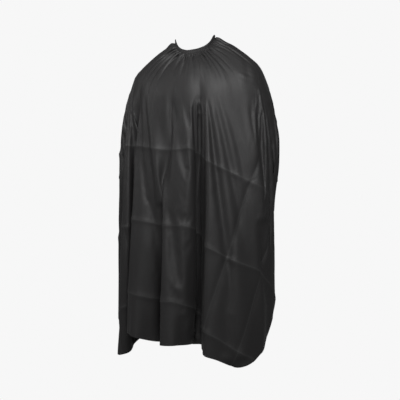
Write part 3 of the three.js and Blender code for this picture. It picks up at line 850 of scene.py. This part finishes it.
band_azimuth = np.linspace(RIGHT_END, 360 - 210.95, 900)
band_x, band_y = neck_plan(band_azimuth)
band_nx, band_ny = neck_normal(band_azimuth)
band_centre = np.stack([band_x, band_y], -1)
band_walked = distance_along(band_centre)
band_wave = np.sin(2 * math.pi * band_walked / (5.6 * MM) + 1.3 * ripple(band_walked, 0.11, 6, 12))
band_pucker = 1.15 * MM * band_wave * (0.75 + 0.25 * ripple(band_walked, 0.09, 4, 13))
band_normals = np.stack([band_nx, band_ny], -1)
band_tops = neckline_height(band_azimuth)
even = np.ones(len(band_azimuth))
band_points, band_faces, band_places = folded_strip(
    band_centre, band_normals, band_tops, BAND_HEIGHT * even, CASING_THICKNESS * even, band_pucker, 1.2 * MM
)
casing = strip_object("neck_casing", band_points, band_faces, band_places, "cape", "neck_band", "band")

outer_line = int(SECTION_POINTS * 0.87)
band_dashes = dashes(
    band_points[4:-4, outer_line], np.concatenate([band_normals, 0 * band_nx[:, None]], 1)[4:-4], 0.15 * MM
)
band_stitching = mesh_object("neck_band_stitching", *band_dashes)
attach(band_stitching, "cape")


def flat_strip(name, centre, normals, tops, height, thickness, node, body, slot_name, ribs=0.0):
    """A flat strip with a closed, softly rounded section: elastic or interlining."""
    turn = np.radians(np.linspace(0, 360, 17)[:-1])
    out = 0.5 + 0.5 * np.sign(np.cos(turn)) * np.abs(np.cos(turn)) ** 0.4
    down = 0.5 - 0.5 * np.sign(np.sin(turn)) * np.abs(np.sin(turn)) ** 0.6
    wave = ribs * np.cos(math.pi * np.arange(len(centre)))[:, None]
    offset = thickness * out[None, :] + wave * (out[None, :] - 0.5)
    x = centre[:, None, 0] + normals[:, None, 0] * offset
    y = centre[:, None, 1] + normals[:, None, 1] * offset
    z = tops[:, None] - height * down[None, :] + 0 * x
    points = np.stack([x, y, z], -1)
    count, girth = points.shape[:2]
    faces = []
    for k in range(count - 1):
        for m in range(girth):
            n = (m + 1) % girth
            faces.append((k * girth + m, k * girth + n, (k + 1) * girth + n, (k + 1) * girth + m))
    faces.append(tuple(range(girth))[::-1])
    faces.append(tuple((count - 1) * girth + m for m in range(girth)))
    places = np.stack([distance_along(centre)[:, None] + 0 * offset, height * down[None, :] + 0 * offset], -1)
    return strip_object(name, points, faces, places, body, node, slot_name)


ELASTIC_HEIGHT = 12 * MM
ELASTIC_THICKNESS = 1 * MM
inside = slice(6, -6)
elastic = flat_strip(
    "elastic_strip", (band_centre + band_normals * 1.2 * MM)[inside], band_normals[inside],
    band_tops[inside] - (BAND_HEIGHT - ELASTIC_HEIGHT) / 2, ELASTIC_HEIGHT, ELASTIC_THICKNESS,
    "neck_elastic", "cape", "elastic", 0.25 * MM,
)

TAB_THICKNESS = 2.8 * MM
STUD_LOW, STUD_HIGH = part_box("stud_tab")
SOCKET_LOW, SOCKET_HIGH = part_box("socket_tab")
TAB_TOP = STUD_HIGH.z
TAB_HEIGHT = STUD_HIGH.z - STUD_LOW.z
CORNER = 3.5 * MM


def tab_stations(along, inner):
    """Stations of a tab that runs straight along X, with its inner face at these depths."""
    centre = np.stack([along, inner], -1)
    slope = np.gradient(inner, along)
    normals = np.stack([-slope, np.ones_like(slope)], -1)
    normals /= np.linalg.norm(normals, axis=1, keepdims=True)
    return centre, normals


def rounded_end(along, end):
    """Heights and thicknesses of a tab that narrows round its corners at one end."""
    gone = np.clip(1 - np.abs(along - end) / CORNER, 0, 1)
    inset = CORNER * (1 - np.sqrt(np.maximum(0, 1 - gone**2)))
    near_end = np.clip(np.abs(along - end) / (1.4 * MM), 0, 1)
    thickness = TAB_THICKNESS * (0.25 + 0.75 * np.sqrt(1 - (1 - near_end) ** 2))
    return inset, thickness


def tab(name, along, inner, end, node, body):
    centre, normals = tab_stations(along, inner)
    inset, thickness = rounded_end(along, end)
    centre = centre + normals * (TAB_THICKNESS - thickness)[:, None] / 2
    soft = 0.18 * MM * ripple(along, 0.03, 4, 7)
    strip = folded_strip(centre, normals, TAB_TOP - inset, TAB_HEIGHT - 2 * inset, thickness, soft)
    made = strip_object(name, *strip, body, node, "tab")
    margin = 2.2 * MM
    far = end + math.copysign(margin, along[0] - end)
    level = np.linspace(0, 1, 40)
    root = along[0] + math.copysign(3 * MM, end - along[0])
    high, low = TAB_TOP - margin, TAB_TOP - TAB_HEIGHT + margin
    sides = [
        (root + (far - root) * level, high + 0 * level),
        (far + 0 * level, high + (low - high) * level),
        (far + (root - far) * level, low + 0 * level),
    ]
    x = np.concatenate([s[0] for s in sides])
    z = np.concatenate([s[1] for s in sides])
    order = np.argsort(along)
    face = np.interp(x, along[order], inner[order])
    nx = np.interp(x, along[order], normals[order, 0])
    ny = np.interp(x, along[order], normals[order, 1])
    up = np.stack([nx, ny, 0 * nx], -1)
    on_face = np.stack([x + nx * TAB_THICKNESS, face + ny * TAB_THICKNESS, z], -1)
    stitching = dashes(on_face, up, 0.1 * MM, 2.6 * MM, 1.9 * MM, 0.45 * MM, 0.3 * MM)
    stitches = mesh_object(name + "_stitching", *stitching)
    if body:
        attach(stitches, body)
    return made, stitches


stud_along = np.linspace(STUD_HIGH.x + 2 * MM, STUD_LOW.x, 120)
stud_cover, stud_stitching = tab(
    "stud_tab_cover", stud_along, np.full(120, STUD_LOW.y), STUD_LOW.x, "stud_tab", "cape"
)

socket_along = np.linspace(SOCKET_LOW.x - 2 * MM, SOCKET_HIGH.x, 130)
step_start, step_end = SOCKET_LOW.x + 1.5 * MM, SOCKET_LOW.x + 10 * MM
step_height = SOCKET_HIGH.y - TAB_THICKNESS - SOCKET_LOW.y
socket_inner = SOCKET_LOW.y + step_height * smooth(step_start, step_end, socket_along)
socket_cover, socket_stitching = tab(
    "socket_tab_cover", socket_along, socket_inner, SOCKET_HIGH.x, "socket_tab", None
)
for piece in (socket_cover, socket_stitching):
    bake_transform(piece)

for name, node, body in (
    ("stud_tab_stiffener", "stud_tab_interlining", "cape"),
    ("socket_tab_stiffener", "socket_tab_interlining", "closure_tab"),
):
    low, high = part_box(node)
    along = np.linspace(low.x, high.x, 60)
    centre, normals = tab_stations(along, np.full(60, low.y))
    stiffener = flat_strip(
        name, centre, normals, np.full(60, high.z), high.z - low.z, high.y - low.y, node, body, "interlining"
    )


# ---------------------------------------------------------------- finishes
def rib_weave_group():
    """Fine crosswise ribs of woven nylon, slow changes of tone and of gloss over the cloth, and crease lines
    that raise the bump and carry a painted highlight.
    """
    group = bpy.data.node_groups.new("rib_weave", "ShaderNodeTree")
    for name, kind, value in (
        ("Rib Spacing", "NodeSocketFloat", 0.0012), ("Tone", "NodeSocketColor", (0.02, 0.02, 0.02, 1)),
        ("Lighter Tone", "NodeSocketColor", (0.03, 0.03, 0.03, 1)), ("Smoothest", "NodeSocketFloat", 0.42),
        ("Roughest", "NodeSocketFloat", 0.58), ("Crease Bump And Painted Highlight Strength", "NodeSocketFloat", 0.0),
        ("Painted Crease Highlight Tone", "NodeSocketColor", (0.048, 0.048, 0.048, 1)),
    ):
        group.interface.new_socket(name, in_out="INPUT", socket_type=kind).default_value = value
    outputs = (("Color", "NodeSocketColor"), ("Roughness", "NodeSocketFloat"), ("Height", "NodeSocketFloat"))
    for name, kind in outputs:
        group.interface.new_socket(name, in_out="OUTPUT", socket_type=kind)
    nodes, links = group.nodes, group.links
    given = nodes.new("NodeGroupInput")
    made = nodes.new("NodeGroupOutput")
    place = nodes.new("ShaderNodeUVMap")
    place.uv_map = "cloth_uv"
    split = nodes.new("ShaderNodeSeparateXYZ")
    links.new(place.outputs[0], split.inputs[0])

    def maths(kind, first, second=None):
        node = nodes.new("ShaderNodeMath")
        node.operation = kind
        for socket, value in zip(node.inputs, (first, second)):
            if value is None:
                continue
            if isinstance(value, (int, float)):
                socket.default_value = value
            else:
                links.new(value, socket)
        return node.outputs[0]

    def wave(coordinate, turn):
        """A sine wave along one coordinate, with turn radians to each rib."""
        turned = maths("MULTIPLY", coordinate, turn)
        return maths("SINE", maths("DIVIDE", turned, given.outputs["Rib Spacing"]))

    ribs = wave(split.outputs["Y"], 2 * math.pi)
    yarns = wave(split.outputs["X"], 4 * math.pi)
    height = maths("ADD", ribs, maths("MULTIPLY", yarns, maths("MULTIPLY", ribs, 0.5)))

    def cloudy(scale, detail):
        node = nodes.new("ShaderNodeTexNoise")
        links.new(place.outputs[0], node.inputs["Vector"])
        node.inputs["Scale"].default_value = scale
        node.inputs["Detail"].default_value = detail
        return node.outputs["Fac"]

    tone = nodes.new("ShaderNodeMix")
    tone.data_type = "RGBA"
    speckle = maths("ADD", maths("MULTIPLY", cloudy(7, 4), 0.6), maths("MULTIPLY", cloudy(420, 2), 0.4))
    links.new(speckle, tone.inputs[0])
    links.new(given.outputs["Tone"], tone.inputs[6])
    links.new(given.outputs["Lighter Tone"], tone.inputs[7])

    def pressed_lines(coordinate, first, spacing, width, patch):
        """Thin lines at even spacing where the cloth was pressed, stronger in some patches than others."""
        wander = maths("MULTIPLY", maths("SUBTRACT", cloudy(6, 3), 0.5), 12 * MM)
        start = maths("ADD", maths("SUBTRACT", coordinate, first - spacing / 2), wander)
        off = maths("ABSOLUTE", maths("SUBTRACT", maths("FLOORED_MODULO", start, spacing), spacing / 2))
        line = maths("EXPONENT", maths("DIVIDE", maths("MULTIPLY", off, -1), width))
        return maths("MULTIPLY", line, maths("MULTIPLY", cloudy(patch, 2), 1.5))

    below_yoke = maths("GREATER_THAN", split.outputs["Y"], 0.42)
    past_middle = maths("MAXIMUM", maths("SUBTRACT", split.outputs["X"], ASKEW_FROM), 0)
    folded = maths("SUBTRACT", split.outputs["Y"], maths("MULTIPLY", past_middle, ASKEW))
    fold_pitch = CREASES_ACROSS[1] - CREASES_ACROSS[0]
    lines_across = pressed_lines(folded, CREASES_ACROSS[0], fold_pitch, 2.4 * MM, 5)
    aside = maths("ABSOLUTE", split.outputs["X"])
    lines_along = pressed_lines(aside, CREASES_ALONG[2], CREASES_ALONG[3] - CREASES_ALONG[2], 2.2 * MM, 3)
    outer_half = maths("GREATER_THAN", aside, 0.3)
    lines_along = maths("MULTIPLY", lines_along, maths("MULTIPLY", outer_half, 0.8))
    # The crease lines raise the bump and also lighten the colour towards the crease tone: a painted highlight
    # along each crease.
    pressed = maths("MULTIPLY", maths("ADD", lines_across, lines_along), below_yoke)
    pressed = maths("MULTIPLY", pressed, given.outputs["Crease Bump And Painted Highlight Strength"])
    tone_with_painted_crease_highlight = nodes.new("ShaderNodeMix")
    tone_with_painted_crease_highlight.data_type = "RGBA"
    links.new(maths("MINIMUM", pressed, 1.0), tone_with_painted_crease_highlight.inputs[0])
    links.new(tone.outputs[2], tone_with_painted_crease_highlight.inputs[6])
    links.new(given.outputs["Painted Crease Highlight Tone"], tone_with_painted_crease_highlight.inputs[7])
    links.new(tone_with_painted_crease_highlight.outputs[2], made.inputs["Color"])
    links.new(maths("ADD", height, maths("MULTIPLY", pressed, 13.0)), made.inputs["Height"])
    spread = maths("SUBTRACT", given.outputs["Roughest"], given.outputs["Smoothest"])
    rough = maths("ADD", given.outputs["Smoothest"], maths("MULTIPLY", spread, cloudy(11, 3)))
    links.new(rough, made.inputs["Roughness"])
    return group


weave = rib_weave_group()


def woven_finish(name, tone, lighter, smoothest, roughest, rib_spacing, bump, sheen, specular, crease_bump_and_painted_highlight=0.0):
    finish = bpy.data.materials.new(name)
    finish.use_nodes = True
    nodes, links = finish.node_tree.nodes, finish.node_tree.links
    surface = nodes["Principled BSDF"]
    cloth_group = nodes.new("ShaderNodeGroup")
    cloth_group.node_tree = weave
    for socket, value in (
        ("Rib Spacing", rib_spacing), ("Tone", (*tone, 1)), ("Lighter Tone", (*lighter, 1)),
        ("Smoothest", smoothest), ("Roughest", roughest), ("Crease Bump And Painted Highlight Strength", crease_bump_and_painted_highlight),
    ):
        cloth_group.inputs[socket].default_value = value
    raised = nodes.new("ShaderNodeBump")
    raised.inputs["Strength"].default_value = bump
    raised.inputs["Distance"].default_value = 0.1 * MM
    links.new(cloth_group.outputs["Height"], raised.inputs["Height"])
    links.new(cloth_group.outputs["Color"], surface.inputs["Base Color"])
    links.new(cloth_group.outputs["Roughness"], surface.inputs["Roughness"])
    links.new(raised.outputs["Normal"], surface.inputs["Normal"])
    surface.inputs["Sheen Weight"].default_value = sheen
    surface.inputs["Sheen Roughness"].default_value = 0.45
    surface.inputs["Specular IOR Level"].default_value = specular
    return finish


def plain_finish(name, colour, roughness, metallic=0.0, sheen=0.0):
    finish = bpy.data.materials.new(name)
    finish.use_nodes = True
    surface = finish.node_tree.nodes["Principled BSDF"]
    surface.inputs["Base Color"].default_value = (*colour, 1)
    surface.inputs["Roughness"].default_value = roughness
    surface.inputs["Metallic"].default_value = metallic
    surface.inputs["Sheen Weight"].default_value = sheen
    return finish


# The satin's crease lines carry a painted highlight as well as their bump.
satin = woven_finish(
    "satin_nylon", (0.017, 0.0164, 0.0166), (0.025, 0.0242, 0.0245), 0.46, 0.58, 1.1 * MM,
    bump=0.3, sheen=0.03, specular=0.36, crease_bump_and_painted_highlight=0.7,
)
casing_finish = woven_finish(
    "casing_nylon", (0.019, 0.0185, 0.0187), (0.028, 0.027, 0.0275), 0.5, 0.62, 0.9 * MM,
    bump=0.3, sheen=0.05, specular=0.3,
)
elastic_finish = woven_finish(
    "braided_elastic", (0.62, 0.61, 0.57), (0.72, 0.71, 0.68), 0.7, 0.85, 1.6 * MM,
    bump=0.6, sheen=0.2, specular=0.3,
)
stiffener_finish = woven_finish(
    "pressed_interlining", (0.6, 0.58, 0.53), (0.7, 0.68, 0.64), 0.8, 0.95, 0.7 * MM,
    bump=0.3, sheen=0.2, specular=0.3,
)
thread = plain_finish("black_thread", (0.012, 0.012, 0.0125), 0.48, 0, 0.3)
for piece, finish in (
    (panel, satin), (casing, casing_finish), (stud_cover, casing_finish), (socket_cover, casing_finish),
    (elastic, elastic_finish), (hem_stitching, thread), (band_stitching, thread), (stud_stitching, thread),
    (socket_stitching, thread),
):
    piece.data.materials.append(finish)
for name in ("stud_tab_stiffener", "socket_tab_stiffener"):
    bpy.data.objects[name].data.materials.append(stiffener_finish)

nickel = plain_finish("nickel_plated_steel", (0.42, 0.41, 0.4), 0.34, 1.0)
gunmetal = plain_finish("blackened_steel", (0.05, 0.05, 0.052), 0.38, 0.9)
black_cap = plain_finish("black_lacquered_steel", (0.02, 0.02, 0.021), 0.3, 0.6)
for kind, count, finish, slot_name in (
    ("stud", 4, nickel, "stud_metal"), ("stud_back", 4, gunmetal, "stud_metal"),
    ("socket", 2, nickel, "stud_metal"), ("cap", 2, black_cap, "cap_metal"),
):
    for n in range(1, count + 1):
        metal = bpy.data.objects[f"{kind}_{n}"]
        metal.data.materials.clear()
        metal.data.materials.append(finish)
        shade_smooth(metal)
        metal.data.set_sharp_from_angle(angle=math.radians(35))

# ---------------------------------------------------------------- studio
PALE = (0.93, 0.93, 0.93, 1)
ROOM_FILL = 0.06
FLOOR_BOUNCE = 0.2
FLOOR_REACH = 8
FLOOR_LEVEL = -1.75
scene = bpy.context.scene
scene.view_settings.view_transform = "Standard"


def pale_to_the_camera(tree, shader_kind, output_kind, strength):
    """Shows the studio's pale tone to the camera, and sheds white light of this strength on the cape."""
    nodes, links = tree.nodes, tree.links
    nodes.clear()
    seen, shed = nodes.new(shader_kind), nodes.new(shader_kind)
    seen.inputs["Color"].default_value = PALE
    shed.inputs["Color"].default_value = (1, 1, 1, 1)
    shed.inputs["Strength"].default_value = strength
    path = nodes.new("ShaderNodeLightPath")
    mix = nodes.new("ShaderNodeMixShader")
    out = nodes.new(output_kind)
    links.new(path.outputs["Is Camera Ray"], mix.inputs[0])
    links.new(shed.outputs[0], mix.inputs[1])
    links.new(seen.outputs[0], mix.inputs[2])
    links.new(mix.outputs[0], out.inputs["Surface"])


world = bpy.data.worlds.new("pale_studio")
scene.world = world
world.use_nodes = True
pale_to_the_camera(world.node_tree, "ShaderNodeBackground", "ShaderNodeOutputWorld", ROOM_FILL)

floor_mesh = bpy.data.meshes.new("floor")
corners = [(x * FLOOR_REACH, y * FLOOR_REACH, FLOOR_LEVEL) for x, y in ((-1, -1), (1, -1), (1, 1), (-1, 1))]
floor_mesh.from_pydata(corners, [], [(0, 1, 2, 3)])
floor = bpy.data.objects.new("floor", floor_mesh)
scene.collection.objects.link(floor)
floor_finish = bpy.data.materials.new("pale_floor")
floor_finish.use_nodes = True
pale_to_the_camera(floor_finish.node_tree, "ShaderNodeEmission", "ShaderNodeOutputMaterial", FLOOR_BOUNCE)
floor_mesh.materials.append(floor_finish)
floor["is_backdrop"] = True

VIEW_AZIMUTH = math.radians(22)
TARGET = Vector((0.02 * math.cos(VIEW_AZIMUTH), 0.02 * math.sin(VIEW_AZIMUTH), -0.608))
DISTANCE = 3.2


def area_light(name, azimuth, elevation, distance, size, power, aim):
    """A square softbox that stands at an azimuth and elevation from the point it is aimed at."""
    data = bpy.data.lights.new(name, "AREA")
    data.size = size
    data.energy = power
    light = bpy.data.objects.new(name, data)
    a, e = math.radians(azimuth), math.radians(elevation)
    place = aim + distance * Vector((math.sin(a) * math.cos(e), -math.cos(a) * math.cos(e), math.sin(e)))
    light.location = place
    light.rotation_euler = (aim - place).to_track_quat("-Z", "Y").to_euler()
    scene.collection.objects.link(light)
    return light


CHEST = Vector((0, -0.1, -0.3))
area_light("key_softbox", 25, 38, 2.4, 1.5, 64, CHEST)
area_light("fill_softbox", -60, 24, 2.6, 1.2, 14, CHEST)

camera_data = bpy.data.cameras.new("camera")
camera_data.sensor_width = 36
camera_data.lens = 36 * DISTANCE / 1.48
camera = bpy.data.objects.new("camera", camera_data)
camera.location = TARGET + DISTANCE * Vector((math.sin(VIEW_AZIMUTH), -math.cos(VIEW_AZIMUTH), 0))
camera.rotation_euler = (TARGET - camera.location).to_track_quat("-Z", "Y").to_euler()
scene.collection.objects.link(camera)
scene.camera = camera

low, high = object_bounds()
